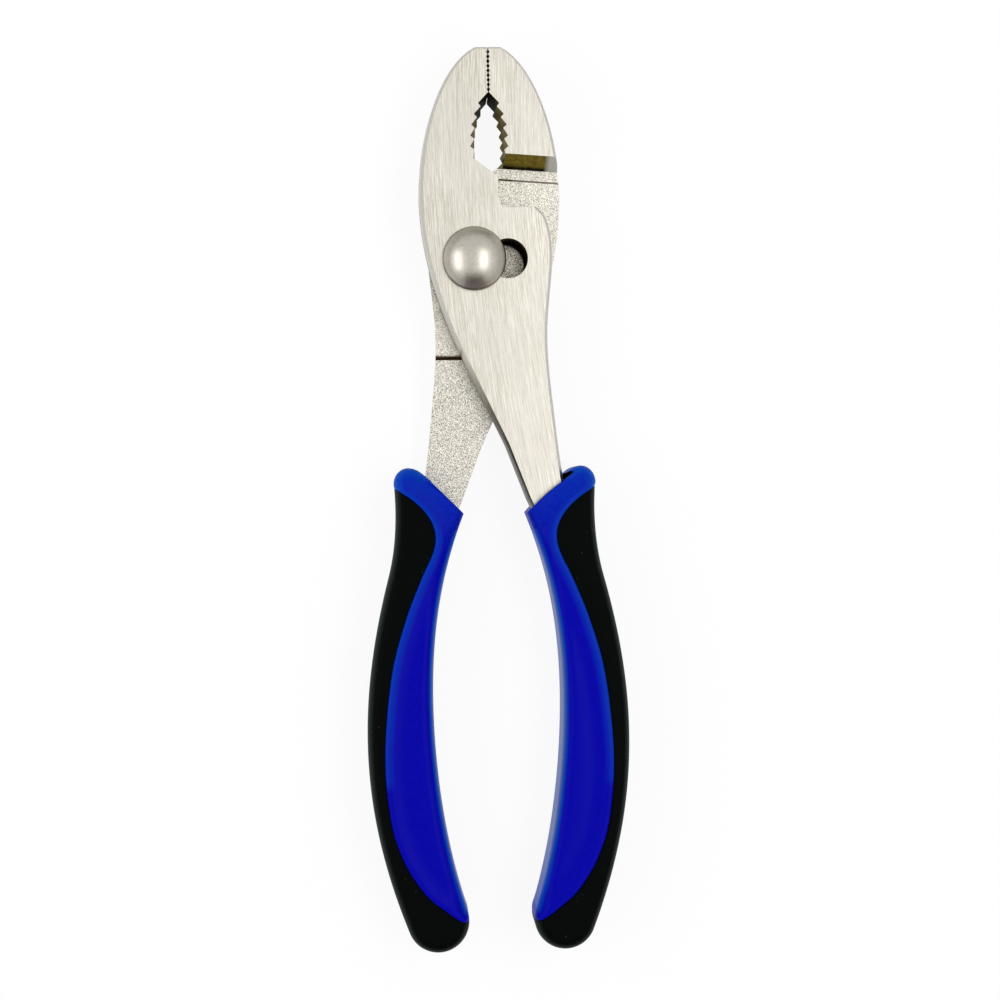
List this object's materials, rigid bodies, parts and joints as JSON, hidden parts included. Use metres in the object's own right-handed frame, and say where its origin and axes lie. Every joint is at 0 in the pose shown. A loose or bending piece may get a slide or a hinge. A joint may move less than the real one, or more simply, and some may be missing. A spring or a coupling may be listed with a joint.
{
  "type": "slip-joint pliers",
  "caption": "Slip-joint pliers with toothed jaws, a pipe-grip throat, a wire-cutter notch, a domed pivot bolt in a two-position slot and two-colour moulded grips.",
  "frame": {"origin": "on the pivot bolt's axis, in the plane of the nut's outer face and the grips' flat backs, which the tool lies on", "axes": "+Z along the pivot bolt towards its domed head, +Y along the closed tool to the jaw tips, +X towards the right-hand handle"},
  "size_m": [0.0578, 0.1995, 0.0173],
  "materials": {
    "nickel_steel": "nickel plated, faces brushed lengthways, joint faces sandblasted",
    "bolt_steel": "nickel plated, satin",
    "blue_plastic": "moulded, semi-matt",
    "black_rubber": "moulded, matt"
  },
  "bodies": {
    "rear_half": {"rear_lever": "nickel_steel", "left_grip_sleeve": "blue_plastic", "left_grip_overmould": "black_rubber"},
    "pivot": {"pivot_bolt": "bolt_steel", "pivot_nut": "bolt_steel"},
    "front_half": {"front_lever": "nickel_steel", "right_grip_sleeve": "blue_plastic", "right_grip_overmould": "black_rubber"}
  },
  "joints": [
    {"name": "jaw_hinge", "type": "hinge", "parent": "rear_half", "child": "pivot", "pos_m": [0, 0, 0], "axis": [0, 0, 1], "range_deg": [0, 50]},
    {"name": "slip_slide", "type": "slide", "parent": "pivot", "child": "front_half", "axis": [-1, 0, 0], "range_m": [0, 0.0074]}
  ]
}
